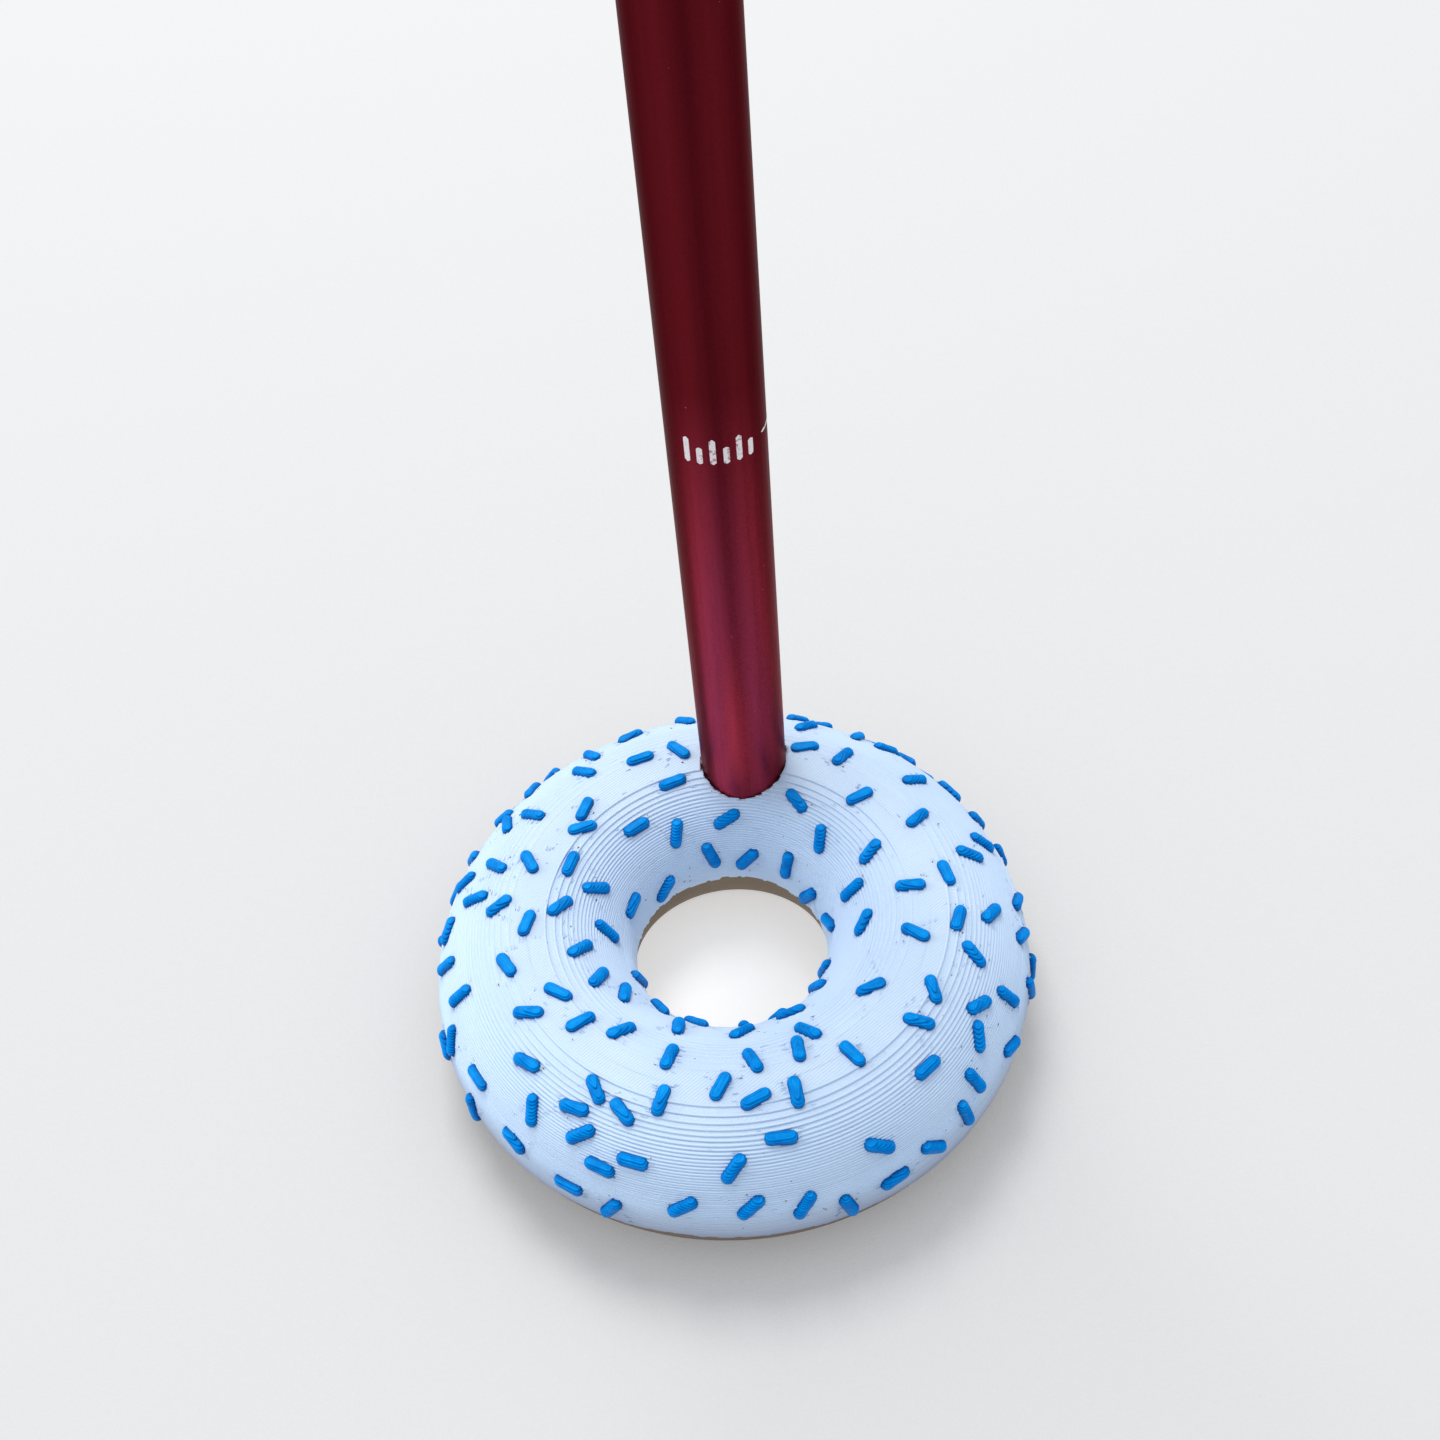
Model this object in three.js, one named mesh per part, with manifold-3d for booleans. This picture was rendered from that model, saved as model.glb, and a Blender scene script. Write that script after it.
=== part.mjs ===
// A juggling prop: a straight aluminium shaft that stands on the crest of a doughnut-shaped
// printed head, with a foam grip and an end knob at the other end.
//
// Units are millimetres. The origin is the centre of the head's flat underside, +Z points along
// the shaft towards the knob, and +Y points from the middle of the ring to the shaft.

import * as THREE from "three";
import { mergeVertices } from "three/addons/utils/BufferGeometryUtils.js";
import Module from "manifold-3d";

const wasm = await Module();
wasm.setup();

// ---------------------------------------------------------------- driving dimensions

const gap = 0.3; // left between pieces that touch
const overshoot = 1; // how far a cutting solid runs past the faces it cuts

const ringRadius = 31.2; // middle of the ring to the middle of its section
const sectionHalfWidth = 15.9;
const sectionHalfHeight = 13.3;
const midPlane = 11.2; // height of the section's middle over the flat underside
const ringSegments = 48;

const icingOuterEdge = THREE.MathUtils.degToRad(-20); // section angle of the icing's outer edge
const icingInnerEdge = THREE.MathUtils.degToRad(180); // and of its edge inside the hole
const icingWall = 2.4;
const icingSteps = 11;

const doughRecess = 0.2; // the dough lies this far inside the icing's surface
const doughWall = icingWall - doughRecess;
const doughFloor = 2;
const doughSteps = 5;

const ribCount = 16;
const ribThickness = 1;
const hoopOffsets = [-5, 5]; // the lattice's round walls, from the middle of the section
const socketWall = 2;

const sprinkleRadius = 1.05;
const sprinkleLength = 5;
const sprinkleSink = 0.05; // how far its middle lies under the icing's surface
const capSteps = 3;
const roundSides = 10;

const sprinkleCount = 45; // the first of them lie on the ring's widest line, one at each side
const sprinkleSeed = 11;
const sprinkleLowest = THREE.MathUtils.degToRad(32); // section angles between which the rest lie
const sprinkleHighest = THREE.MathUtils.degToRad(166);
const sprinkleRoom = 8; // least distance between the middles of two sprinkles
const sideSprinkleTurn = THREE.MathUtils.degToRad(65);

const shaftRadius = 7;
const shaftWall = 1;
const shaftLength = 600;
const shaftOffset = 30.06; // middle of the ring to the shaft's axis
const roundSegments = 36;

const screwRadius = 1.75;
const screwHeadRadius = 3.5;
const screwHeadHeight = 1.6;
const screwLength = 28;
const recessWidth = 0.9; // the cross recess in a screw's head
const recessDepth = 0.9;
const washerRadius = 4.4;
const washerThickness = 0.8;
const counterboreRadius = 5;
const counterboreDepth = gap * 2 + washerThickness + screwHeadHeight + 0.2;
const bossRadius = 9;
const bossHeight = 5.6;
const plugLength = 30;

const gripRadius = 10.5;
const gripSwell = 0.6; // extra radius at the grip's palm swell
const gripLength = 184;
const gripRound = 1.5;
const collarLength = 8;
const collarChamfer = 1.5;
const bandThickness = 0.6;
const bandLength = 12;
const bandInset = 1.8; // a tape band's distance from the end of the grip

const knobRadius = 15;
const knobNeckRadius = 9.6;
const knobTopRadius = 8.5;
const knobSocketDepth = 26;
const knobTopWall = 4;

// ---------------------------------------------------------------- derived places

const shaftBottom = bossHeight + gap;
const shaftTop = shaftBottom + shaftLength;
const shaftBoreRadius = shaftRadius - shaftWall;
const plugRadius = shaftBoreRadius - gap;
const screwHoleRadius = screwRadius + gap;
const knobBottom = shaftTop + gap - knobSocketDepth;
const knobSeat = shaftTop + gap + knobTopWall; // floor of the counterbore in the knob's end
const knobTop = knobSeat + counterboreDepth;
const gripTop = knobBottom - gap;
const gripBottom = gripTop - gripLength;

// ---------------------------------------------------------------- materials

function finish(color, roughness, metalness = 0) {
  return new THREE.MeshStandardMaterial({ color, roughness, metalness });
}

const icingWhite = () => finish(0xc9dcf2, 0.5);
const sprinkleBlue = () => finish(0x0a7fe0, 0.4);
const doughBrown = () => finish(0x6b5344, 0.6);
const latticeWhite = () => finish(0xe4e6e8, 0.6);
const anodisedRed = () => finish(0x5c0f1a, 0.35, 0.9);
const steel = () => finish(0xb9bcc0, 0.35, 0.95);
const beech = () => finish(0xc49a6c, 0.65);
const foamBlack = () => finish(0x1c1c1e, 0.95);
const tapeWhite = () => finish(0xe6e4de, 0.8);
const rubberBlack = () => finish(0x18181a, 0.7);

// ---------------------------------------------------------------- shape helpers

/** A closed geometry as a manifold solid, with shared vertices merged and flat facets dropped. */
function toSolid(geometry) {
  const plain = geometry.clone();
  plain.deleteAttribute("normal");
  plain.deleteAttribute("uv");
  const merged = mergeVertices(plain, 1e-4);
  const corners = merged.index.array;
  const triangles = [];
  for (let i = 0; i < corners.length; i += 3) {
    const [a, b, c] = [corners[i], corners[i + 1], corners[i + 2]];
    if (a !== b && b !== c && c !== a) {
      triangles.push(a, b, c);
    }
  }
  return new wasm.Manifold(new wasm.Mesh({
    numProp: 3,
    vertProperties: new Float32Array(merged.attributes.position.array),
    triVerts: new Uint32Array(triangles),
  }));
}

/** A manifold solid as a geometry that a mesh can carry. */
function toGeometry(solid) {
  const { vertProperties, triVerts } = solid.getMesh();
  const geometry = new THREE.BufferGeometry();
  geometry.setAttribute("position", new THREE.BufferAttribute(vertProperties, 3));
  geometry.setIndex(new THREE.BufferAttribute(triVerts, 1));
  geometry.computeVertexNormals();
  return geometry;
}

/** Points [radius, height] turned about the Z axis, listed anticlockwise around the section. */
function revolve(profile, segments = roundSegments) {
  const points = profile.map(([radius, height]) => new THREE.Vector2(radius, height));
  return new THREE.LatheGeometry(points, segments).rotateX(Math.PI / 2);
}

/** A ring between two radii and two heights. */
function tube(inner, outer, bottom, top, segments = roundSegments) {
  const profile = [[inner, bottom], [outer, bottom], [outer, top], [inner, top], [inner, bottom]];
  return revolve(profile, segments);
}

/** A solid round bar along Z. */
function bar(radius, bottom, top, segments = roundSegments) {
  return revolve([[0, bottom], [radius, bottom], [radius, top], [0, top]], segments);
}

/** A bar that stands where the shaft does. */
function barAtShaft(radius, bottom, top) {
  return toSolid(bar(radius, bottom, top).translate(0, shaftOffset, 0));
}

/** An arc of the ring's oval section, shrunk by an inset, from one section angle to another. */
function sectionArc(inset, from, to, steps) {
  const points = [];
  for (let i = 0; i <= steps; i += 1) {
    const angle = THREE.MathUtils.lerp(from, to, i / steps);
    points.push([
      ringRadius + (sectionHalfWidth - inset) * Math.cos(angle),
      midPlane + (sectionHalfHeight - inset) * Math.sin(angle),
    ]);
  }
  return points;
}

/** The section angle at which the shrunk outer side of the oval comes down to a height. */
function angleAtHeight(inset, height) {
  return -Math.asin((midPlane - height) / (sectionHalfHeight - inset));
}

function mesh(name, geometry, material) {
  const piece = new THREE.Mesh(geometry, material);
  piece.name = name;
  return piece;
}

// ---------------------------------------------------------------- head

/** The white upper shell, with the hole that the shaft goes through. */
function icing() {
  const profile = [
    ...sectionArc(0, icingOuterEdge, icingInnerEdge, icingSteps),
    ...sectionArc(icingWall, icingInnerEdge, icingOuterEdge, icingSteps),
  ];
  profile.push(profile[0]);
  const crest = midPlane + sectionHalfHeight;
  const socket = barAtShaft(shaftRadius + gap, midPlane, crest + overshoot);
  return toGeometry(toSolid(revolve(profile, ringSegments)).subtract(socket));
}

/** The brown lower bowl: its floor is the face that the club stands on. */
function doughBase() {
  const edgeTurn = gap / sectionHalfWidth;
  const outerInset = doughRecess;
  const innerInset = doughRecess + doughWall;
  const outerEdge = icingOuterEdge - edgeTurn;
  const innerEdge = icingInnerEdge + edgeTurn;
  const footAngle = angleAtHeight(outerInset, 0);
  const floorAngle = angleAtHeight(innerInset, doughFloor);
  const profile = [
    ...sectionArc(outerInset, Math.PI - footAngle, innerEdge, doughSteps).reverse(),
    ...sectionArc(outerInset, footAngle, outerEdge, doughSteps),
    ...sectionArc(innerInset, outerEdge, floorAngle, doughSteps),
    ...sectionArc(innerInset, Math.PI - floorAngle, innerEdge, doughSteps),
  ];
  profile.push(profile[0]);
  const counterbore = barAtShaft(counterboreRadius, -overshoot, counterboreDepth);
  const screwHole = barAtShaft(screwHoleRadius, -overshoot, bossHeight + overshoot);
  return toGeometry(
    toSolid(revolve(profile, ringSegments))
      .add(barAtShaft(bossRadius, 0, bossHeight))
      .subtract(counterbore)
      .subtract(screwHole)
  );
}

/** The printed inner structure: radial ribs, two round walls and the sleeve around the shaft. */
function infillLattice() {
  const inset = icingWall + gap;
  const bottom = doughFloor + gap;
  const top = midPlane + sectionHalfHeight;
  const floorAngle = angleAtHeight(inset, bottom);
  const cavityProfile = sectionArc(inset, floorAngle, Math.PI - floorAngle, icingSteps + 3);
  cavityProfile.push(cavityProfile[0]);
  const cavity = toSolid(revolve(cavityProfile, ringSegments));

  let walls = barAtShaft(shaftRadius + gap + socketWall, bottom, top);
  for (const offset of hoopOffsets) {
    const inner = ringRadius + offset - ribThickness / 2;
    walls = walls.add(toSolid(tube(inner, inner + ribThickness, 0, top, ringSegments)));
  }
  for (let i = 0; i < ribCount; i += 1) {
    const rib = new THREE.BoxGeometry(sectionHalfWidth * 2, ribThickness, top)
      .translate(ringRadius, 0, top / 2)
      .rotateZ((i / ribCount) * Math.PI * 2);
    walls = walls.add(toSolid(rib));
  }
  return toGeometry(
    walls
      .intersect(cavity)
      .subtract(barAtShaft(shaftRadius + gap, -overshoot, top + overshoot))
      .subtract(barAtShaft(bossRadius + gap, -overshoot, shaftBottom))
  );
}

/** A source of numbers from 0 to 1 that look random and are the same on every run. */
function numberSource(seed) {
  const modulus = 2 ** 31 - 1;
  let state = seed;
  return () => {
    state = (state * 48271) % modulus;
    return state / modulus;
  };
}

/** The middle of a sprinkle, from its angle around the ring and its angle over the section. */
function sprinkleMiddle({ around, over }) {
  const [[radius, height]] = sectionArc(sprinkleSink, over, over, 1);
  return new THREE.Vector3(radius * Math.cos(around), radius * Math.sin(around), height);
}

/** Where the sprinkles lie and how they're turned: scattered by area, with room around each. */
function sprinkleSpots() {
  const draw = numberSource(sprinkleSeed);
  const spots = [
    { around: 0, over: 0, turn: sideSprinkleTurn },
    { around: Math.PI, over: 0, turn: sideSprinkleTurn },
  ];
  const widest = ringRadius + sectionHalfWidth;
  while (spots.length < sprinkleCount) {
    const spot = {
      around: draw() * Math.PI * 2,
      over: THREE.MathUtils.lerp(sprinkleLowest, sprinkleHighest, draw()),
      turn: draw() * Math.PI,
    };
    const middle = sprinkleMiddle(spot);
    const chosen = draw() < Math.hypot(middle.x, middle.y) / widest;
    const besideShaft = Math.hypot(middle.x, middle.y - shaftOffset) > shaftRadius + sprinkleLength / 2;
    const apart = spots.every((other) => sprinkleMiddle(other).distanceTo(middle) > sprinkleRoom);
    if (chosen && besideShaft && apart) {
      spots.push(spot);
    }
  }
  return spots;
}

/** The raised part of one sprinkle: a capsule laid on the section, cut clear of the icing. */
function sprinkle(spot, cutter) {
  const slope = Math.atan2(
    sectionHalfHeight * Math.cos(spot.over),
    -sectionHalfWidth * Math.sin(spot.over)
  );
  const middle = sprinkleMiddle(spot);
  const straight = sprinkleLength - sprinkleRadius * 2;
  const capsule = new THREE.CapsuleGeometry(sprinkleRadius, straight, capSteps, roundSides)
    .rotateZ(spot.turn - Math.PI / 2)
    .rotateX(Math.PI / 2)
    .rotateZ(Math.PI / 2)
    .rotateY(Math.PI / 2 - slope)
    .rotateZ(spot.around)
    .translate(middle.x, middle.y, middle.z);
  return toGeometry(toSolid(capsule).subtract(cutter));
}

/** The sprinkles that are pieces of their own, as meshes. */
function sprinkles() {
  const oval = sectionArc(-gap, 0, Math.PI * 2, icingSteps * 2);
  const cutter = toSolid(revolve(oval, ringSegments))
    .add(barAtShaft(shaftRadius + gap, 0, sectionHalfHeight * 3));
  return sprinkleSpots().map((spot, i) => {
    const number = String(i + 1).padStart(2, "0");
    return mesh(`sprinkle_${number}`, sprinkle(spot, cutter), sprinkleBlue());
  });
}

// ---------------------------------------------------------------- fixings

/** A pan-head screw whose head ends at Z = 0 and whose shank points up. */
function screw() {
  const edge = 0.5;
  const body = toSolid(revolve([
    [0, 0],
    [screwHeadRadius - edge, 0],
    [screwHeadRadius, edge],
    [screwHeadRadius, screwHeadHeight],
    [screwRadius, screwHeadHeight],
    [screwRadius, screwHeadHeight + screwLength - screwRadius],
    [0, screwHeadHeight + screwLength],
  ], 24));
  const slot = new THREE.BoxGeometry(screwHeadRadius * 1.2, recessWidth, recessDepth * 2);
  const crossed = toSolid(slot).add(toSolid(slot.clone().rotateZ(Math.PI / 2)));
  return toGeometry(body.subtract(crossed));
}

/** A plug for the shaft's end, with a blind hole for the screw in its lower end. */
function plug() {
  return revolve([
    [0, screwLength - shaftBottom / 2],
    [screwHoleRadius, screwLength - shaftBottom / 2],
    [screwHoleRadius, 0],
    [plugRadius, 0],
    [plugRadius, plugLength],
    [0, plugLength],
  ]);
}

function washer() {
  return tube(screwHoleRadius, washerRadius, 0, washerThickness, 24);
}

// ---------------------------------------------------------------- handle

/** The foam sleeve: straight ends with rounded edges and a slight swell under the palm. */
function gripSleeve() {
  const swellSteps = 8;
  const outer = [[gripRadius - gripRound, gripBottom]];
  for (let i = 0; i <= swellSteps; i += 1) {
    const along = i / swellSteps;
    const radius = gripRadius + gripSwell * Math.sin(along * Math.PI) ** 2;
    outer.push([radius, THREE.MathUtils.lerp(gripBottom + gripRound, gripTop - gripRound, along)]);
  }
  outer.push([gripRadius - gripRound, gripTop]);
  const inner = shaftRadius + gap;
  return revolve([[inner, gripBottom], ...outer, [inner, gripTop], [inner, gripBottom]]);
}

/** The turned ring that closes the lower end of the grip. */
function gripCollar() {
  const inner = shaftRadius + gap;
  const top = gripBottom - gap;
  const bottom = top - collarLength;
  return revolve([
    [inner, bottom],
    [gripRadius - collarChamfer, bottom],
    [gripRadius, bottom + collarChamfer],
    [gripRadius, top],
    [inner, top],
    [inner, bottom],
  ]);
}

/** A band of tape around the grip, listed by its lower edge. */
function tapeBand(bottom) {
  const inner = gripRadius + gripSwell / 4 + gap;
  return tube(inner, inner + bandThickness, bottom, bottom + bandLength);
}

/** The knob: a necked bulb with a socket for the shaft and a recess for its screw. */
function endKnob() {
  const bulbSteps = 10;
  const height = knobTop - knobBottom;
  const outer = [];
  for (let i = 0; i <= bulbSteps; i += 1) {
    const along = i / bulbSteps;
    const bulge = Math.sin(along ** 1.6 * Math.PI) * (knobRadius - knobNeckRadius);
    const base = THREE.MathUtils.lerp(knobNeckRadius, knobTopRadius, along);
    outer.push([base + bulge, knobBottom + height * along]);
  }
  const socket = shaftRadius + gap;
  const socketTop = shaftTop + gap;
  return revolve([
    [socket, knobBottom],
    ...outer,
    [counterboreRadius, knobTop],
    [counterboreRadius, knobSeat],
    [screwHoleRadius, knobSeat],
    [screwHoleRadius, socketTop],
    [socket, socketTop],
    [socket, knobBottom],
  ]);
}

// ---------------------------------------------------------------- assembly

const screwHeadAt = counterboreDepth - gap * 2 - washerThickness - screwHeadHeight;

const head = new THREE.Group();
head.add(
  mesh("dough_base", doughBase(), doughBrown()),
  mesh("icing", icing(), icingWhite()),
  mesh("infill_lattice", infillLattice(), latticeWhite()),
  ...sprinkles()
);

const headScrew = mesh("head_screw", screw(), steel());
headScrew.position.z = screwHeadAt;
const headWasher = mesh("head_washer", washer(), steel());
headWasher.position.z = counterboreDepth - gap - washerThickness;
const headPlug = mesh("head_plug", plug(), beech());
headPlug.position.z = shaftBottom + gap;

const knobScrew = mesh("knob_screw", screw(), steel());
knobScrew.position.z = knobTop - screwHeadAt;
knobScrew.rotation.x = Math.PI;
const knobWasher = mesh("knob_washer", washer(), steel());
knobWasher.position.z = knobSeat + gap;
const knobPlug = mesh("knob_plug", plug(), beech());
knobPlug.position.z = shaftTop - gap;
knobPlug.rotation.x = Math.PI;

const handle = new THREE.Group();
handle.position.y = shaftOffset;
handle.add(
  mesh("shaft", tube(shaftBoreRadius, shaftRadius, shaftBottom, shaftTop), anodisedRed()),
  headPlug,
  headScrew,
  headWasher,
  mesh("grip_collar", gripCollar(), anodisedRed()),
  mesh("grip_sleeve", gripSleeve(), foamBlack()),
  mesh("lower_tape_band", tapeBand(gripBottom + bandInset), tapeWhite()),
  mesh("upper_tape_band", tapeBand(gripTop - bandInset - bandLength), tapeWhite()),
  mesh("end_knob", endKnob(), rubberBlack()),
  knobPlug,
  knobWasher,
  knobScrew
);

const club = new THREE.Group();
club.add(head, handle);

export default club;
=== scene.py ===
"""A juggling prop: a straight anodised tube that stands on the crest of a printed doughnut head.

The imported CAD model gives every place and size. This script adds the looks: the printed layers
of the head and its sprinkles, the anodised tube with its tick marks, and the grip and knob.
"""

import math
import random

import bmesh
import bpy
import numpy as np
from mathutils import Matrix, Vector


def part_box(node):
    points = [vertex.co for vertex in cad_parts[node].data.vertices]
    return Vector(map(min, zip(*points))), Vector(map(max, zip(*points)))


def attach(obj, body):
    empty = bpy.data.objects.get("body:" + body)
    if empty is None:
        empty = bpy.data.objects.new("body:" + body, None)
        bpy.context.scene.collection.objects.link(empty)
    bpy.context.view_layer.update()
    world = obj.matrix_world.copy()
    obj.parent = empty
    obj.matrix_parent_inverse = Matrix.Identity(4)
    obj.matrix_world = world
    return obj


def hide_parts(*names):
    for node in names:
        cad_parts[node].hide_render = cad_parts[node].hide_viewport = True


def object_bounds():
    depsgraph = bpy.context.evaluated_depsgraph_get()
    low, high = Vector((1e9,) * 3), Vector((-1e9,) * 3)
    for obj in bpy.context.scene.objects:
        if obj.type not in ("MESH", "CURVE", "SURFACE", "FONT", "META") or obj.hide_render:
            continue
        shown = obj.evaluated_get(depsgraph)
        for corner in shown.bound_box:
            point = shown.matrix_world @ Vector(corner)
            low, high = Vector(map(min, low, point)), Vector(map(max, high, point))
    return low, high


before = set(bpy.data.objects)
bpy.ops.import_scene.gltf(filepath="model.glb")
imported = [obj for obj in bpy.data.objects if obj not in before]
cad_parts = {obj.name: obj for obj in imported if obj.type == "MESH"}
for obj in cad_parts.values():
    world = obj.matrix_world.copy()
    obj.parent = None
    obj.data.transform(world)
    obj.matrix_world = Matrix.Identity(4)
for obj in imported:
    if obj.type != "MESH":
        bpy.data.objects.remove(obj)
cad_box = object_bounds()

MM = 0.001
TAU = 2 * math.pi
TINY = 1e-6  # radius that closes a turned piece at its axis
BODY = "root"

# ---- sizes, from the frame

ICING_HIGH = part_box("icing")[1]
DOUGH_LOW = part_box("dough_base")[0]
SHAFT_LOW, SHAFT_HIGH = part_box("shaft")
GRIP_LOW, GRIP_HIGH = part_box("grip_sleeve")
KNOB_LOW, KNOB_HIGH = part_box("end_knob")
PLACED_SPRINKLES = sorted(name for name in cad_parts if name.startswith("sprinkle_"))

SHAFT_RADIUS = (SHAFT_HIGH.x - SHAFT_LOW.x) / 2
SHAFT_WALL = 1 * MM
AXIS_Y = (SHAFT_LOW.y + SHAFT_HIGH.y) / 2  # the shaft's axis stands at X = 0
GAP = 0.3 * MM  # between neighbouring pieces of the CAD model
OVER_SHAFT = SHAFT_RADIUS + GAP  # bore of the pieces that sit on the shaft
SCREW_HOLE = 2.05 * MM  # radius of the holes that the screws pass through

HALF_WIDTH = 15.9 * MM  # of the ring's oval section
HALF_HEIGHT = 13.3 * MM  # of the same section
RING_RADIUS = ICING_HIGH.x - HALF_WIDTH
MID_HEIGHT = ICING_HIGH.z - HALF_HEIGHT
ICING_WALL = 2.4 * MM
SHELL_HALF_WIDTH = HALF_WIDTH - ICING_WALL  # of the oval inside the icing's wall
SHELL_HALF_HEIGHT = HALF_HEIGHT - ICING_WALL
DOUGH_INSET = 0.2 * MM
DOUGH_FLOOR = 2 * MM
BASE_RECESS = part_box("head_washer")[1].z + GAP  # depth of the screw's recess under the base

LAYER = 0.287 * MM  # printed layer height
LINE = 0.434 * MM  # width of one printed line
LINE_TURN = math.radians(46)  # direction of the top layer's lines, from +X
BEAD_DEPTH = 0.055 * MM  # how deep the grooves between layers are
TOP_LAYER = int((MID_HEIGHT + HALF_HEIGHT) / LAYER - 0.5)  # the last layer that meets the oval

SPRINKLE_RADIUS = 1.05 * MM
SPRINKLE_LENGTH = 5 * MM
SPRINKLE_SINK = 0.05 * MM  # how far its axis lies under the icing's surface
SPRINKLE_COUNT = 146
SPRINKLE_SIDES = 26
SPRINKLE_BEAD = 0.14 * MM  # how deep the grooves between a sprinkle's layers are

SHARP_OVER = math.radians(38)  # edges that turn by more than this stay sharp

# ---- node helpers


MATERIALS = {}  # by name; Nodes.finish adds each one


class Nodes:
    """A short way to write a material's node tree."""

    def __init__(self, name):
        self.name = name
        self.material = bpy.data.materials.new(name)
        self.material.use_nodes = True
        self.tree = self.material.node_tree
        self.shader = self.tree.nodes["Principled BSDF"]
        self.place = self.tree.nodes.new("ShaderNodeTexCoord").outputs["Object"]

    def put(self, socket, value):
        """Sets a socket, or links it if the value is another node's output."""
        if isinstance(value, bpy.types.NodeSocket):
            self.tree.links.new(value, socket)
        elif isinstance(value, tuple) and len(value) == 3 and socket.type == "RGBA":
            socket.default_value = (*value, 1)
        else:
            socket.default_value = value

    def node(self, kind, inputs=None, **settings):
        made = self.tree.nodes.new("ShaderNode" + kind)
        for name, value in settings.items():
            setattr(made, name, value)
        for name, value in (inputs or {}).items():
            self.put(made.inputs[name], value)
        return made

    def math(self, operation, a, b=0.0):
        return self.node("Math", {0: a, 1: b}, operation=operation).outputs[0]

    def times(self, a, b):
        return self.math("MULTIPLY", a, b)

    def plus(self, a, b):
        return self.math("ADD", a, b)

    def axes(self, vector=None):
        return self.node("SeparateXYZ", {0: vector or self.place}).outputs

    def noise(self, scale, detail, vector=None):
        inputs = {"Vector": vector or self.place, "Scale": scale, "Detail": detail}
        return self.node("TexNoise", inputs).outputs["Fac"]

    def streaks(self, scale, detail=2):
        """Noise with a scale of its own along each axis."""
        stretched = self.node("Mapping", {"Vector": self.place, "Scale": scale}).outputs[0]
        return self.noise(1, detail, stretched)

    def cells(self, scale):
        return self.node("TexVoronoi", {"Vector": self.place, "Scale": scale}).outputs["Distance"]

    def attribute(self, name):
        return self.node("Attribute", attribute_name=name).outputs["Fac"]

    def spread(self, value, low, high, to_low=0.0, to_high=1.0):
        """Maps low..high onto to_low..to_high, held at both ends."""
        inputs = {
            "Value": value, "From Min": low, "From Max": high, "To Min": to_low, "To Max": to_high,
        }
        return self.node("MapRange", inputs).outputs["Result"]

    def mix(self, factor, a, b):
        """Mixes two colours."""
        made = self.node("Mix", data_type="RGBA")
        colors = [socket for socket in made.inputs if socket.type == "RGBA"]
        self.put(made.inputs["Factor"], factor)
        self.put(colors[0], a)
        self.put(colors[1], b)
        return next(socket for socket in made.outputs if socket.type == "RGBA")

    def blend(self, factor, a, b):
        """Mixes two numbers."""
        return self.node("Mix", {"Factor": factor, "A": a, "B": b}, data_type="FLOAT").outputs[0]

    def ramp(self, value, stops):
        """A smooth number from a list of (place from 0 to 1, level)."""
        made = self.node("ValToRGB", {"Fac": value})
        points = made.color_ramp.elements
        made.color_ramp.interpolation = "B_SPLINE"
        while len(points) < len(stops):
            points.new(0.5)
        for point, (place, level) in zip(points, stops):
            point.position = place
            point.color = (level, level, level, 1)
        return made.outputs["Color"]

    def bump(self, height, distance, below=None):
        inputs = {"Height": height, "Distance": distance, "Strength": 1.0}
        if below is not None:
            inputs["Normal"] = below
        return self.node("Bump", inputs).outputs["Normal"]

    def ridges(self, across, pitch):
        """Round ridges with narrow grooves between them, one every pitch."""
        return self.math("ABSOLUTE", self.math("SINE", self.times(across, math.pi / pitch)))

    def around_shaft(self):
        """The angle around the shaft's axis, in radians."""
        x, y, _ = self.axes()
        return self.math("ARCTAN2", self.math("SUBTRACT", y, AXIS_Y), x)

    def from_axis(self, axis_y=0.0):
        """The level distance from the ring's upright axis, or from another one at axis_y."""
        x, y, _ = self.axes()
        away = self.math("SUBTRACT", y, axis_y)
        return self.math("SQRT", self.plus(self.math("POWER", x, 2.0), self.math("POWER", away, 2.0)))

    def patches(self, dark, light, scale, detail, low=0.3, high=0.7):
        """Two colours in soft patches of noise."""
        return self.mix(self.spread(self.noise(scale, detail), low, high), dark, light)

    def finish(self, color, roughness, normal=None, **constants):
        """Fills the shader. Colour, roughness and normal may be linked, the rest are constants."""
        self.put(self.shader.inputs["Base Color"], color)
        self.put(self.shader.inputs["Roughness"], roughness)
        if normal is not None:
            self.put(self.shader.inputs["Normal"], normal)
        for name, value in constants.items():
            self.shader.inputs[name.replace("_", " ")].default_value = value
        MATERIALS[self.name] = self.material
        return self.material


# ---- materials


def printed_lines(n):
    """Height of the printed lines on flat faces: one that follows the edge, then slanting ones.

    The slanting lines turn by a right angle from one layer to the next.
    """
    x, y, z = n.axes()
    layer = n.math("ROUND", n.math("DIVIDE", z, LAYER))
    odd = n.math("PINGPONG", layer, 1.0)
    cos, sin = math.cos(LINE_TURN), math.sin(LINE_TURN)
    one_way = n.math("SUBTRACT", n.times(x, sin), n.times(y, cos))
    other_way = n.plus(n.times(x, cos), n.times(y, sin))
    slanting = n.blend(odd, other_way, one_way)
    rim = n.attribute("rim")
    inside = n.math("GREATER_THAN", rim, LINE)
    across = n.blend(inside, rim, slanting)
    facing = n.node("NewGeometry").outputs["True Normal"]
    flat = n.math("GREATER_THAN", n.math("ABSOLUTE", n.axes(facing)[2]), 0.95)
    return n.times(n.ridges(across, LINE), flat)


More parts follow.
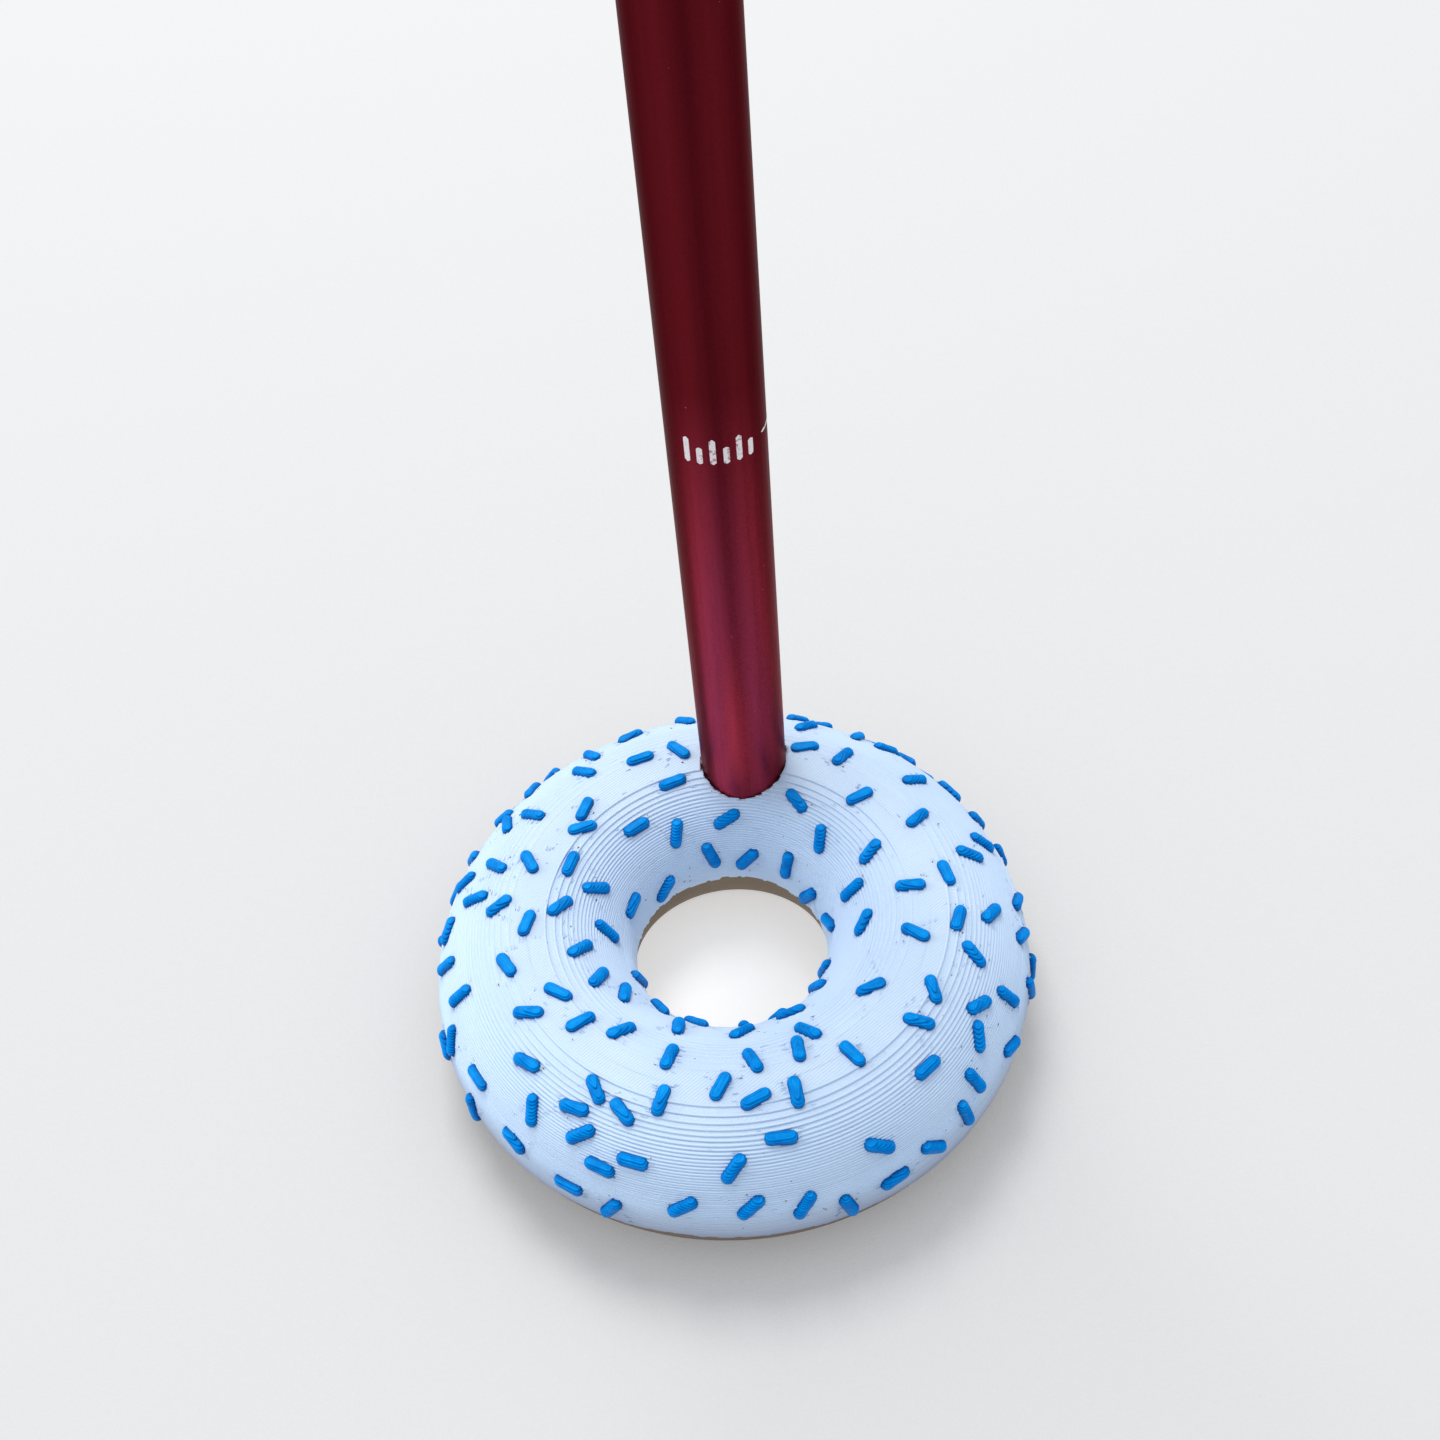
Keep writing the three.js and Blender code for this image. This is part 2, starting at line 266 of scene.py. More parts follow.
def layered_plastic(name, light, dark, roughness, groove=0.035 * MM, underside_shade_color=None):
    """Printed plastic: a fused surface with line marks, faint waves and a soft uneven gloss.

    The last argument, when given, is painted shade: the colour that the ring's outer side darkens to
    towards the underside, where less light reaches.
    """
    n = Nodes(name)
    streaks = n.streaks((160, 160, 2600))
    color = n.patches(dark, light, 90, 3, 0.35, 0.65)
    specks = n.math("LESS_THAN", n.cells(430), 0.045)
    some_places = n.math("GREATER_THAN", n.noise(160, 1), 0.56)
    color = n.mix(n.times(specks, some_places), color, (0.10, 0.10, 0.13))
    if underside_shade_color:
        # painted shade: the outer side darkens towards the underside, away from the light
        clear_over, full_under, blend_width = 15.5 * MM, 8 * MM, 6 * MM
        low = n.spread(n.axes()[2], clear_over, full_under)
        outside = n.spread(n.from_axis(), RING_RADIUS, RING_RADIUS + blend_width)
        color = n.mix(n.times(low, outside), color, underside_shade_color)
    rough = n.spread(streaks, 0.3, 0.7, roughness - 0.07, roughness + 0.07)
    grain = n.bump(n.noise(5200, 2), 0.006 * MM)
    waves = n.bump(streaks, 0.02 * MM, below=grain)
    lines = n.bump(printed_lines(n), groove, below=waves)
    return n.finish(color, rough, lines, IOR=1.46)


def sprinkle_plastic():
    """Glossy blue plastic with painted shade: darker under the edge of each layer and where it meets the
    icing.
    """
    n = Nodes("sprinkle_plastic")
    open_color = n.patches((0.0, 0.22, 0.71), (0.0, 0.325, 0.91), 700, 2)
    # painted shade: the shade attribute darkens the blue under each layer's edge and near the icing
    color = n.mix(n.attribute("shade"), open_color, (0.0, 0.045, 0.27))
    waves = n.bump(n.streaks((900, 900, 3600)), 0.03 * MM)
    grain = n.bump(n.noise(4200, 2), 0.008 * MM, below=waves)
    rough = n.spread(n.noise(1500, 2), 0.3, 0.7, 0.26, 0.40)
    gloss = (0.05, 0.7, 1.0, 1)
    return n.finish(color, rough, grain, IOR=1.46, Specular_IOR_Level=0.3, Specular_Tint=gloss)


PAINTED_LIGHT_AROUND = [  # (degrees around the shaft from +X, level of painted light: pale bands that stand in for reflections and for light from the left)
    (-180, 0.2), (-150, 0.0), (-134, 0.1), (-118, 0.85), (-104, 0.95), (-92, 0.4), (-80, 0.2),
    (-68, 0.65), (-56, 0.6), (-42, 0.4), (-24, 0.0), (20, 0.25), (60, 0.4), (90, 0.2),
    (120, 0.35), (180, 0.2),
]


def anodised(name, deep, pale, foot_reflection_deep=None, foot_reflection_pale=None):
    """Satin anodised aluminium: painted light in pale bands round the shaft, uneven dye, long streaks and
    a fine grain.

    The foot of the shaft may have other colours: a painted reflection of the head.
    """
    n = Nodes(name)
    long_streaks = n.streaks((420, 420, 7))
    fine_streaks = n.streaks((3000, 3000, 60))
    grain = n.noise(2600, 3)
    specks = n.math("LESS_THAN", n.cells(260), 0.03)
    turn = n.spread(n.around_shaft(), -math.pi, math.pi)
    # painted light: pale bands round the shaft that stand in for reflections and light from the left
    around = n.ramp(turn, [((degrees + 180) / 360, level) for degrees, level in PAINTED_LIGHT_AROUND])
    rough_dye = n.plus(long_streaks, n.times(grain, 0.6))
    uneven = n.spread(rough_dye, 0.5, 1.1, -0.25, 0.25)
    level = n.spread(n.plus(around, uneven), 0.0, 1.0)
    body = n.mix(level, deep, pale)
    if foot_reflection_deep:
        # painted reflection: near the head the tube takes the foot colours
        foot_over, foot_under = 105 * MM, 42 * MM
        foot_reflection_share = n.spread(n.axes()[2], foot_over, foot_under)
        body = n.mix(foot_reflection_share, body, n.mix(level, foot_reflection_deep, foot_reflection_pale))
    color = n.mix(n.times(specks, 0.35), body, (0.55, 0.25, 0.25))
    rough = n.spread(fine_streaks, 0.3, 0.7, 0.36, 0.46)
    drawn = n.bump(fine_streaks, 0.006 * MM)
    normal = n.bump(grain, 0.012 * MM, below=drawn)
    edge = (0.62, 0.50, 0.50, 1)
    return n.finish(color, rough, normal, Metallic=1.0, Anisotropic=0.35, Specular_Tint=edge)


def mark_ink():
    """White print, worn through in places."""
    n = Nodes("mark_ink")
    color = n.patches((0.45, 0.25, 0.25), (0.86, 0.80, 0.80), 1800, 3, 0.36, 0.46)
    return n.finish(color, 0.55, n.bump(n.noise(4000, 2), 0.01 * MM))


def grip_foam():
    """Closed-cell foam: small pits of mixed sizes on a dull black skin."""
    n = Nodes("grip_foam")
    pits = n.math("MINIMUM", n.spread(n.cells(1500), 0.0, 0.5), n.spread(n.cells(520), 0.0, 0.35))
    color = n.patches((0.010, 0.010, 0.011), (0.028, 0.028, 0.030), 300, 3)
    soft = n.bump(n.noise(240, 2), 0.12 * MM)
    normal = n.bump(pits, 0.12 * MM, below=soft)
    return n.finish(color, 0.9, normal, Sheen_Weight=0.12, Specular_IOR_Level=0.25)


def cloth_tape():
    """Woven cotton tape: over-and-under threads, slightly soiled."""
    n = Nodes("cloth_tape")
    thread = 0.42 * MM
    ways = (n.times(n.around_shaft(), GRIP_HIGH.x), n.axes()[2])
    warp, weft = (n.ridges(way, thread) for way in ways)
    across, along = (n.math("FLOOR", n.math("DIVIDE", way, thread)) for way in ways)
    over = n.math("PINGPONG", n.plus(across, along), 1.0)
    weave = n.blend(over, n.times(warp, weft), n.math("MAXIMUM", warp, weft))
    soiled = n.spread(n.noise(260, 4), 0.4, 0.75)
    clean = n.mix(n.spread(weave, 0.1, 0.8), (0.48, 0.47, 0.44), (0.74, 0.73, 0.70))
    color = n.mix(n.times(soiled, 0.35), clean, (0.40, 0.37, 0.33))
    return n.finish(color, 0.85, n.bump(weave, 0.09 * MM), Sheen_Weight=0.2)


def knob_rubber():
    """Black rubber, scuffed grey and rougher in patches."""
    n = Nodes("knob_rubber")
    worn = n.noise(130, 5)
    scuffs = n.times(n.spread(worn, 0.52, 0.66), 0.4)
    color = n.mix(scuffs, (0.012, 0.012, 0.013), (0.045, 0.043, 0.042))
    rough = n.spread(worn, 0.35, 0.65, 0.48, 0.7)
    grain = n.bump(n.cells(2600), 0.03 * MM)
    normal = n.bump(n.noise(420, 3), 0.05 * MM, below=grain)
    return n.finish(color, rough, normal, Specular_IOR_Level=0.35)


def fixing_steel():
    """Zinc-plated steel with turning marks."""
    n = Nodes("fixing_steel")
    out = n.node("CombineXYZ", {"X": n.times(n.from_axis(AXIS_Y), 9000)}).outputs[0]
    rings = n.noise(1, 2, out)
    color = n.patches((0.46, 0.47, 0.49), (0.62, 0.63, 0.65), 500, 3)
    rough = n.spread(rings, 0.3, 0.7, 0.22, 0.38)
    return n.finish(color, rough, n.bump(rings, 0.01 * MM), Metallic=1.0)


def plug_wood():
    """Beech dowel: grain along Z with short dark flecks."""
    n = Nodes("plug_wood")
    grain = n.streaks((900, 900, 45), 4)
    flecks = n.spread(n.streaks((2600, 2600, 260)), 0.62, 0.7)
    body = n.mix(n.spread(grain, 0.3, 0.7), (0.42, 0.25, 0.13), (0.62, 0.42, 0.24))
    color = n.mix(n.times(flecks, 0.5), body, (0.25, 0.13, 0.06))
    return n.finish(color, 0.6, n.bump(grain, 0.05 * MM))


def floor_paper():
    """Pale matt studio paper that glows a little, and more so in a round patch in the ring's hole."""
    n = Nodes("floor_paper")
    patch, patch_fades = 20 * MM, 26 * MM
    glow = n.spread(n.from_axis(), patch, patch_fades, 0.51, 0.12)
    n.put(n.shader.inputs["Emission Color"], (0.98, 0.99, 1.0))
    n.put(n.shader.inputs["Emission Strength"], glow)
    color = n.mix(n.noise(900, 3), (0.73, 0.715, 0.695), (0.755, 0.735, 0.71))
    return n.finish(color, 0.9, n.bump(n.noise(2400, 3), 0.05 * MM), Specular_IOR_Level=0.1)


# The last colour given to the icing and the dough is painted shade towards the ring's outer underside.
layered_plastic(
    "icing_plastic", (0.66, 0.815, 0.998), (0.635, 0.795, 0.99), 0.5, 0.042 * MM,
    underside_shade_color=(0.215, 0.245, 0.37),
)
layered_plastic(
    "dough_plastic", (0.27, 0.195, 0.12), (0.22, 0.16, 0.10), 0.55, underside_shade_color=(0.17, 0.125, 0.10),
)
layered_plastic("infill_plastic", (0.76, 0.80, 0.85), (0.70, 0.74, 0.80), 0.5)
sprinkle_plastic()
# The tube's foot colours are a painted reflection of the head.
anodised(
    "anodised_tube",
    deep=(0.070, 0.004, 0.008),
    pale=(0.130, 0.008, 0.013),
    foot_reflection_deep=(0.15, 0.010, 0.018),
    foot_reflection_pale=(0.60, 0.058, 0.105),
)
anodised("anodised_collar", deep=(0.09, 0.006, 0.010), pale=(0.145, 0.009, 0.015))
mark_ink()
grip_foam()
cloth_tape()
knob_rubber()
fixing_steel()
plug_wood()

# ---- mesh helpers


def make_object(name, points, faces, values=None):
    """A mesh object with outward faces and smooth shading. values are numbers for its points."""
    mesh = bpy.data.meshes.new(name)
    mesh.from_pydata(points, [], faces)
    mesh.validate()
    for key, numbers in (values or {}).items():
        mesh.attributes.new(key, "FLOAT", "POINT").data.foreach_set("value", numbers)
    if signed_volume(mesh) < 0:
        mesh.flip_normals()
    mesh.shade_smooth()
    mesh.set_sharp_from_angle(angle=SHARP_OVER)
    return in_scene(name, mesh)


def in_scene(name, data):
    """A new object in the scene that holds a mesh, a camera or a light."""
    made = bpy.data.objects.new(name, data)
    bpy.context.scene.collection.objects.link(made)
    return made


def signed_volume(mesh):
    """Positive where the faces of a closed mesh point out."""
    solid = bmesh.new()
    solid.from_mesh(mesh)
    volume = solid.calc_volume(signed=True)
    solid.free()
    return volume


def grid_faces(rows, columns, closed_rows, closed_columns=True):
    """Quads of a grid of points, which may close on itself either way."""
    row = np.arange(rows if closed_rows else rows - 1)[:, None]
    column = np.arange(columns if closed_columns else columns - 1)[None, :]
    here, after = row * columns, (row + 1) % rows * columns
    next_column = (column + 1) % columns
    corners = [here + column, here + next_column, after + next_column, after + column]
    return np.stack(np.broadcast_arrays(*corners), -1).reshape(-1, 4).tolist()


def turned(name, profile, columns=160, at_shaft=True, change=None):
    """A closed profile of (radius, height) turned about the shaft's axis, or the ring's.

    change(angle, radius, height) may return new radii and heights for the whole grid.
    """
    radius, height = np.array(profile, float).T[:, :, None]
    angle = np.linspace(0, TAU, columns, endpoint=False)[None, :]
    if change:
        radius, height = change(angle, radius, height)
    radius, height, angle = np.broadcast_arrays(radius, height, angle)
    points = np.stack([radius * np.cos(angle), radius * np.sin(angle), height], -1)
    if at_shaft:
        points[..., 1] += AXIS_Y
    faces = grid_faces(len(profile), columns, closed_rows=True)
    return make_object(name, points.reshape(-1, 3), faces)


def joined(shapes):
    """Many shapes, each a list of points and a list of faces, as one."""
    points, faces = [], []
    for new_points, new_faces in shapes:
        faces += [[len(points) + i for i in face] for face in new_faces]
        points += new_points
    return points, faces


def cut(piece, cutter):
    """Cuts one closed mesh out of another and throws the cutter away."""
    step = piece.modifiers.new("cut", "BOOLEAN")
    step.operation = "DIFFERENCE"
    step.object = cutter
    step.solver = "MANIFOLD"
    graph = bpy.context.evaluated_depsgraph_get()
    result = bpy.data.meshes.new_from_object(piece.evaluated_get(graph))
    piece.modifiers.clear()
    piece.data = result
    bpy.data.objects.remove(cutter)
    return piece


def rounded(points, radius, steps=4):
    """A closed outline with each corner (a point that has a third value, its share) rounded."""
    outline = []
    count = len(points)
    for i, (x, y, share) in enumerate(points):
        here = Vector((x, y))
        if not share:
            outline.append((x, y))
            continue
        before = Vector(points[i - 1][:2]) - here
        after = Vector(points[(i + 1) % count][:2]) - here
        start = here + before.normalized() * radius * share
        end = here + after.normalized() * radius * share
        for step in range(steps + 1):
            t = step / steps
            spot = start * (1 - t) ** 2 + here * 2 * t * (1 - t) + end * t**2
            outline.append((spot.x, spot.y))
    return outline


def rounding(from_end, radius):
    """How far in a rounded end lies, at a distance from that end."""
    return radius - math.sqrt(radius**2 - (radius - from_end) ** 2) if from_end < radius else 0.0


def dress(piece, slot, *nodes):
    """Gives a piece its material, its body and the CAD nodes that it stands for."""
    piece.data.materials.clear()
    piece.data.materials.append(MATERIALS[slot])
    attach(piece, BODY)
    if nodes:
        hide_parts(*nodes)


# ---- printed layers


def oval_half_width(height, inset):
    """Half the section's width at a height, for the oval shrunk by an inset."""
    rise = (height - MID_HEIGHT) / (HALF_HEIGHT - inset)
    return (HALF_WIDTH - inset) * math.sqrt(max(0.0, 1 - rise**2))


def layer_width(layer, inset):
    """Half the section's width at the middle of a layer."""
    return oval_half_width((layer + 0.5) * LAYER, inset)


def layer_wall(layer, inset, flip):
    """The rows of one layer's edge, from its bottom up, then of the terrace that it leaves.

    A row is (distance from the middle of the section, height, layer, distance to the rim).
    """
    width = layer_width(layer, inset)
    next_width = layer_width(layer + 1, inset)
    middle = (layer + 0.5) * LAYER
    rows = []
    for degrees in (-80, -28, 28, 80):
        turn = math.radians(degrees)
        across = width - BEAD_DEPTH * (1 - math.cos(turn))
        rows.append((across, middle + LAYER / 2 * math.sin(turn), layer, 0.0))
    terrace = width - next_width
    if terrace > 3 * BEAD_DEPTH:
        top = (layer + 1) * LAYER
        under_next = BEAD_DEPTH * 0.5 if next_width else -0.01 * MM
        rows.append((width - BEAD_DEPTH * 1.5, top, layer, BEAD_DEPTH * 1.5))
        rows.append((next_width - under_next, top, layer, terrace))
    return [(flip * across, height, layer, rim) for across, height, layer, rim in rows]


def printed_wall(lowest, past, inset, flip):
    """The rows of one side of the section, from its lowest layer up to before layer past."""
    return [row for layer in range(lowest, past) for row in layer_wall(layer, inset, flip)]


def outer_edge_rise(angle):
    """How many layers higher than usual the outer edge lies: most on the side across from the shaft."""
    away = (angle - OUTER_EDGE_HIGHEST + math.pi) % TAU - math.pi
    return OUTER_EDGE_RISE * np.exp(-((away / OUTER_EDGE_RISE_WIDTH) ** 2))


def edge_layers(angle, usual, seed, rise=0.0):
    """The lowest icing layer at each angle: a slow wave with ragged steps."""
    draw = random.Random(seed)
    columns = len(angle)
    wave = np.zeros(columns) + rise
    for waves in (3, 5, 8, 13, 21, 34):
        wave += draw.uniform(0.25, 0.5) * np.sin(waves * angle + draw.uniform(0, TAU))
    ragged = np.zeros(columns)
    spot = 0
    while spot < columns:
        width = draw.choice((1, 2, 3, 3, 4, 6))
        ragged[spot:spot + width] = draw.choice((-0.6, -0.2, 0.0, 0.2, 0.6))
        spot += width
    return np.rint(usual + wave + ragged).astype(int)


ICING_COLUMNS = 420
EDGE_SPREAD = 4  # layers that the ragged edge may reach below its usual place
OUTER_EDGE_LAYER = round((MID_HEIGHT - HALF_HEIGHT * math.sin(math.radians(22))) / LAYER)
OUTER_EDGE_RISE = 12  # layers that the outer edge rises where it's highest
OUTER_EDGE_RISE_WIDTH = 1.05  # in radians around the ring
OUTER_EDGE_HIGHEST = math.radians(-93)
INNER_EDGE_LAYER = round(MID_HEIGHT / LAYER)


def fold_under(skin, edge, sign):
    """Lays the rows below each column's edge layer along the icing's underside."""
    folded = skin.copy()
    for column in range(skin.shape[1]):
        below = np.flatnonzero(skin[:, column, 2] < edge[column])
        if len(below) == 0:
            continue
        share = (np.arange(len(below))[:, None] + 1) / (len(below) + 1)
        if below[0] == 0:
            lip = skin[below[-1] + 1, column, :2]
        else:
            lip = skin[below[0] - 1, column, :2]
            share = 1 - share
        height = edge[column] * LAYER
        start = np.array([sign * oval_half_width(height, ICING_WALL), height])
        folded[below, column, :2] = start + (lip - start) * share
    return folded


def icing():
    """The white shell: printed outside, plain inside, with a hole that fits the shaft."""
    outer = printed_wall(OUTER_EDGE_LAYER - EDGE_SPREAD, TOP_LAYER + 1, 0.0, 1)
    inner = printed_wall(INNER_EDGE_LAYER - EDGE_SPREAD, TOP_LAYER + 1, 0.0, -1)[::-1]
    shell_steps = 22
    angle = np.linspace(0, TAU, ICING_COLUMNS, endpoint=False)
    outer_edge = edge_layers(angle, OUTER_EDGE_LAYER, seed=11, rise=outer_edge_rise(angle))
    inner_edge = edge_layers(angle, INNER_EDGE_LAYER, seed=12)

    draw = np.random.default_rng(5)
    drift = draw.normal(0, 0.010 * MM, TOP_LAYER + 2)
    sway = 0.012 * MM * np.sin(
        draw.integers(3, 9, TOP_LAYER + 2)[:, None] * angle + draw.uniform(0, TAU, TOP_LAYER + 2)[:, None]
    )

    def skin(rows, edge, sign):
        grid = np.repeat(np.array(rows)[:, None, :], ICING_COLUMNS, 1)
        layers = grid[:, 0, 2].astype(int)
        grid[..., 0] += sign * (drift[layers][:, None] + sway[layers])
        return fold_under(grid, edge, sign)

    start = math.pi - np.arcsin((inner_edge * LAYER - MID_HEIGHT) / SHELL_HALF_HEIGHT)
    end = np.arcsin((outer_edge * LAYER - MID_HEIGHT) / SHELL_HALF_HEIGHT)
    share = np.linspace(0, 1, shell_steps)[:, None]
    turn = start * (1 - share) + end * share
    shell = np.zeros((shell_steps, ICING_COLUMNS, 4))
    shell[..., 0] = SHELL_HALF_WIDTH * np.cos(turn)
    shell[..., 1] = MID_HEIGHT + SHELL_HALF_HEIGHT * np.sin(turn)

    grid = np.concatenate([skin(outer, outer_edge, 1), skin(inner, inner_edge, -1), shell])
    radius = RING_RADIUS + grid[..., 0]
    points = np.stack([radius * np.cos(angle), radius * np.sin(angle), grid[..., 1]], -1)
    faces = grid_faces(len(grid), ICING_COLUMNS, closed_rows=True)
    piece = make_object("icing_skin", points.reshape(-1, 3), faces, values={"rim": grid[..., 3].ravel()})
    dress(cut(piece, shaft_hole_cutter()), "icing_plastic", "icing")


def shaft_hole_cutter():
    """A bar a little wider than the shaft, whose edge steps raggedly from layer to layer."""
    draw = np.random.default_rng(8)
    columns = 120
    first = int(MID_HEIGHT / LAYER)
    angle = np.linspace(0, TAU, columns, endpoint=False)
    rows = []
    for layer in range(first, TOP_LAYER + 4):
        ragged = draw.uniform(0.0, 0.26 * MM, columns // 3).repeat(3)
        radius = SHAFT_RADIUS + 0.02 * MM + ragged
        rows.append((radius, layer * LAYER + 0.01 * LAYER))
        rows.append((radius, (layer + 1) * LAYER - 0.01 * LAYER))
    points = [(0, AXIS_Y, rows[0][1])]
    for radius, height in rows:
        for r, a in zip(radius, angle):
            points.append((r * math.cos(a), AXIS_Y + r * math.sin(a), height))
    points.append((0, AXIS_Y, rows[-1][1]))
    faces = [[i + 1 for i in face] for face in grid_faces(len(rows), columns, closed_rows=False)]
    last = len(points) - 1
    top = last - columns
    for i in range(columns):
        faces.append([0, 1 + (i + 1) % columns, 1 + i])
        faces.append([last, top + i, top + (i + 1) % columns])
    return make_object("shaft_hole", points, faces)


def dough():
    """The brown bowl: printed walls up to just inside the icing, and a flat first layer."""
    hidden_top = INNER_EDGE_LAYER + 6
    outer_top = OUTER_EDGE_LAYER + OUTER_EDGE_RISE + 4
    nearly_flush = DOUGH_INSET * 0.4
    outer = printed_wall(0, outer_top, nearly_flush, 1)
    inner = printed_wall(0, hidden_top, DOUGH_INSET, -1)[::-1]
    foot = layer_width(0, DOUGH_INSET) - BEAD_DEPTH

    def shell(height):
        return math.asin((height - MID_HEIGHT) / SHELL_HALF_HEIGHT)

    profile = [row[:2] for row in inner] + [(-foot, 0), (foot, 0)] + [row[:2] for row in outer]
    steps = 10
    low = shell(DOUGH_FLOOR)
    for start, end in (
        (shell(outer_top * LAYER), low),
        (-math.pi - low, -math.pi - shell(hidden_top * LAYER)),
    ):
        for i in range(steps + 1):
            turn = start + (end - start) * i / steps
            height = MID_HEIGHT + SHELL_HALF_HEIGHT * math.sin(turn)
            profile.append((SHELL_HALF_WIDTH * math.cos(turn), height))
    profile = [(RING_RADIUS + x, z) for x, z in profile]
    piece = turned("dough_bowl", profile, columns=360, at_shaft=False)
    dress(cut(piece, recess_cutter()), "dough_plastic", "dough_base")


def recess_cutter():
    """A closed round bar on the shaft's axis, from under the base to the recess's end."""
    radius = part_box("head_washer")[1].x + 2 * GAP
    profile = [(TINY, -MM), (radius, -MM), (radius, BASE_RECESS), (TINY, BASE_RECESS)]
    return turned("screw_recess", profile, columns=64)


# ---- sprinkles


def section_frame(around, over):
    """A point on the oval ring with its outward normal, its ring direction and its rise."""
    out = Vector((math.cos(around), math.sin(around), 0))
    up = Vector((0, 0, 1))
    middle = out * (RING_RADIUS + HALF_WIDTH * math.cos(over))
    middle.z = MID_HEIGHT + HALF_HEIGHT * math.sin(over)
    normal = (out * math.cos(over) / HALF_WIDTH + up * math.sin(over) / HALF_HEIGHT).normalized()
    along = up.cross(out)
    return middle, normal, along, normal.cross(along) * -1


def sprinkle_at(around, over, turn):
    """The two ends of a sprinkle's axis."""
    middle, normal, along, rise = section_frame(around, over)
    middle -= normal * SPRINKLE_SINK
    direction = along * math.cos(turn) + rise * math.sin(turn)
    half = direction * (SPRINKLE_LENGTH / 2 - SPRINKLE_RADIUS)
    return middle - half, middle + half


def placed_sprinkles():
    """The sprinkles that the CAD model places: each node gives its middle and its direction."""
    found = []
    for name in PLACED_SPRINKLES:
        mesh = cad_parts[name].data
        places = np.array([vertex.co for vertex in mesh.vertices])
        low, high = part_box(name)
        middle = (low + high) / 2
        _, _, axes = np.linalg.svd(places - places.mean(0))
        around = math.atan2(middle.y, middle.x)
        across = math.hypot(middle.x, middle.y) - RING_RADIUS
        over = math.atan2((middle.z - MID_HEIGHT) / HALF_HEIGHT, across / HALF_WIDTH)
        _, _, along, rise = section_frame(around, over)
        turn = math.atan2(Vector(axes[0]).dot(rise), Vector(axes[0]).dot(along))
        found.append((around, over, turn))
    return found


def clearance(ends, others):
    """The least distance from one sprinkle's axis to the others', by five points on each."""
    share = np.linspace(0, 1, 5)[:, None]
    mine = np.array(ends[0]) * (1 - share) + np.array(ends[1]) * share
    theirs = np.array(others)
    theirs = theirs[:, 0, None, :] * (1 - share) + theirs[:, 1, None, :] * share
    return np.linalg.norm(theirs.reshape(-1, 1, 3) - mine, axis=2).min()


def all_sprinkles():
    """The placed sprinkles, then seeded ones that fill the rest of the icing evenly."""
    draw = random.Random(2024)
    spots = placed_sprinkles()
    ends = [sprinkle_at(*spot) for spot in spots]
    lowest, highest = math.radians(-12), math.radians(171)
    roomy = 4.2 * MM  # between two axes
    touching = 2 * SPRINKLE_RADIUS + 0.15 * MM
    shaft_room = SHAFT_RADIUS + SPRINKLE_RADIUS + 0.4 * MM
    crowded = 0.06  # share of the less roomy places that are still taken
    high = cad_box[1]
    while len(spots) < SPRINKLE_COUNT:
        around = draw.uniform(0, TAU)
        over = draw.uniform(lowest, highest)
        spot = (around, over, draw.uniform(0, math.pi))
        wide = (RING_RADIUS + HALF_WIDTH * math.cos(over)) / (RING_RADIUS + HALF_WIDTH)
        if draw.random() > wide:
            continue
        pair = sprinkle_at(*spot)
        outside = any(abs(end[i]) + SPRINKLE_RADIUS > high[i] for end in pair for i in (0, 1))
        near_shaft = min(math.hypot(end.x, end.y - AXIS_Y) for end in (*pair, (pair[0] + pair[1]) / 2))
        lowest_edge = (OUTER_EDGE_LAYER + outer_edge_rise(around) + EDGE_SPREAD) * LAYER
        too_low = min(end.z for end in pair) - SPRINKLE_RADIUS < lowest_edge and math.cos(over) > 0
        if outside or too_low or near_shaft < shaft_room:
            continue
        room = clearance(pair, ends)
        if room < touching or (room < roomy and draw.random() > crowded):
            continue
        spots.append(spot)
        ends.append(pair)
    return spots, ends


def capsule_distance(points, start, end):
    """Distance from points to a capsule's skin, negative inside."""
    axis = end - start
    share = np.clip(((points - start) @ axis) / (axis @ axis), 0, 1)
    return np.linalg.norm(points - start - share[..., None] * axis, axis=-1) - SPRINKLE_RADIUS


def slab_outline(start, end, height):
    """The capsule's outline at a height, found along rays from its middle, or None."""
    thinnest = 0.12 * SPRINKLE_RADIUS
    axis = end - start
    rise = axis[2]
    if abs(rise) < 1e-9:
        shares = (0.0, 1.0)
    else:
        reach = [(height - start[2] + way * SPRINKLE_RADIUS) / rise for way in (-1, 1)]
        shares = (max(0.0, min(reach)), min(1.0, max(reach)))
    middle = start + axis * (shares[0] + shares[1]) / 2
    middle = np.array([middle[0], middle[1], height])
    if capsule_distance(middle[None], start, end)[0] > -thinnest:
        return None
    lean = math.atan2(axis[1], axis[0])
    stretch = 1 + 0.8 * np.linalg.norm(axis[:2]) * (shares[1] - shares[0]) / SPRINKLE_RADIUS / 2
    turn = np.linspace(0, TAU, SPRINKLE_SIDES, endpoint=False)
    along, across = stretch * np.cos(turn), np.sin(turn)
    rays = np.stack([
        along * math.cos(lean) - across * math.sin(lean),
        along * math.sin(lean) + across * math.cos(lean),
        np.zeros(SPRINKLE_SIDES),
    ], -1)
    rays /= np.linalg.norm(rays, axis=1)[:, None]
    near, far = np.zeros(SPRINKLE_SIDES), np.full(SPRINKLE_SIDES, SPRINKLE_LENGTH)
    for _ in range(16):
        halfway = (near + far) / 2
        inside = capsule_distance(middle + rays * halfway[:, None], start, end) < 0
        near, far = np.where(inside, halfway, near), np.where(inside, far, halfway)
    return middle, rays, near


def toward_axis(skin, start, end):
    """Level unit vectors from points on a capsule's skin to its axis, and how far that is."""
    axis = end - start
    share = np.clip(((skin - start) @ axis) / (axis @ axis), 0, 1)
    way = (start + share[:, None] * axis - skin)[:, :2]
    length = np.linalg.norm(way, axis=1)
    way = np.concatenate([way, np.zeros((len(way), 1))], 1) / np.maximum(length, 1e-9)[:, None]
    return way, length


